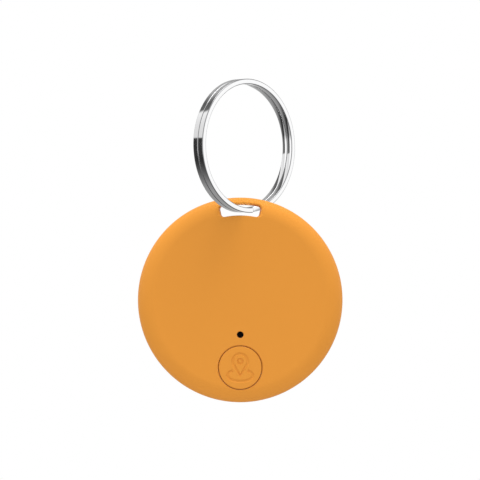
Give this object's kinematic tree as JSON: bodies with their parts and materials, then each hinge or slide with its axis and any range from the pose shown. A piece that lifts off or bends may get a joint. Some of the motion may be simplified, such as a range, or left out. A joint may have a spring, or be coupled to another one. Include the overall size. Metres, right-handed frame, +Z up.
{
  "type": "bluetooth tracker tag",
  "caption": "Round flat bluetooth tracker tag with a push button, a sound hole, a removable battery cover and a metal split ring through a slot in its rim.",
  "frame": {"origin": "the top of the split ring's inside, where a hook or key loop holds the tag", "axes": "+Z up, along the hanging tag; the case's front face looks along -Y and its rear face along +Y"},
  "size_m": [0.038, 0.0188, 0.0602],
  "materials": {
    "orange_shell": "fine satin moulded plastic, soft to the touch",
    "ring_steel": "polished nickel-plated spring steel",
    "silicone": "matt silicone rubber",
    "black_plastic": "matt moulded plastic",
    "acoustic_mesh": "fine woven acoustic mesh",
    "board": "green solder mask on glass-epoxy board",
    "cell_steel": "bright nickel-plated steel",
    "cell_seal": "moulded nylon",
    "bright_steel": "bright steel",
    "spring_contact": "gold-flashed spring bronze",
    "brass_plate": "rolled brass sheet",
    "ceramic": "fired ceramic",
    "plunger_plastic": "moulded plastic"
  },
  "bodies": {
    "ring": {"split_ring": "ring_steel"},
    "case": {"front_shell": "orange_shell", "rear_shell": "orange_shell", "battery_holder": "black_plastic", "radio_chip": "black_plastic", "inductor": "black_plastic", "resistor_1": "black_plastic", "resistor_2": "black_plastic", "switch_body": "black_plastic", "buzzer_gasket": "black_plastic", "sound_mesh": "acoustic_mesh", "circuit_board": "board", "battery_can": "cell_steel", "battery_cap": "cell_steel", "battery_seal": "cell_seal", "switch_frame": "bright_steel", "main_crystal": "bright_steel", "clock_crystal": "bright_steel", "board_screw_1": "bright_steel", "board_screw_2": "bright_steel", "board_screw_3": "bright_steel", "board_screw_4": "bright_steel", "positive_clip": "spring_contact", "negative_contact": "spring_contact", "buzzer_contact_inner": "spring_contact", "buzzer_contact_outer": "spring_contact", "buzzer_plate": "brass_plate", "buzzer_ceramic": "ceramic", "chip_antenna": "ceramic", "capacitor_1": "ceramic", "capacitor_2": "ceramic", "capacitor_3": "ceramic", "capacitor_4": "ceramic"},
    "button": {"button_cap": "orange_shell"},
    "plunger": {"switch_plunger": "plunger_plastic"},
    "cover": {"battery_cover": "orange_shell", "cover_seal": "silicone"}
  },
  "joints": [
    {"name": "case_swivel", "type": "hinge", "parent": "ring", "child": "case", "pos_m": [-0.0009, -0.00087, -0.0239], "axis": [0, 0, 1], "range_deg": [-92, 0]},
    {"name": "button_press", "type": "slide", "parent": "case", "child": "button", "axis": [0, 1, 0], "range_m": [0, 0.0003], "stiffness_N_per_m": 3000},
    {"name": "plunger_press", "type": "slide", "parent": "case", "child": "plunger", "axis": [0, 1, 0], "range_m": [0, 0.00025]},
    {"name": "cover_pull", "type": "slide", "parent": "case", "child": "cover", "axis": [0, 1, 0], "range_m": [0, 0.014]}
  ],
  "couplings": [
    {"joint": "plunger_press", "follows": "button_press", "ratio": 0.8333}
  ]
}
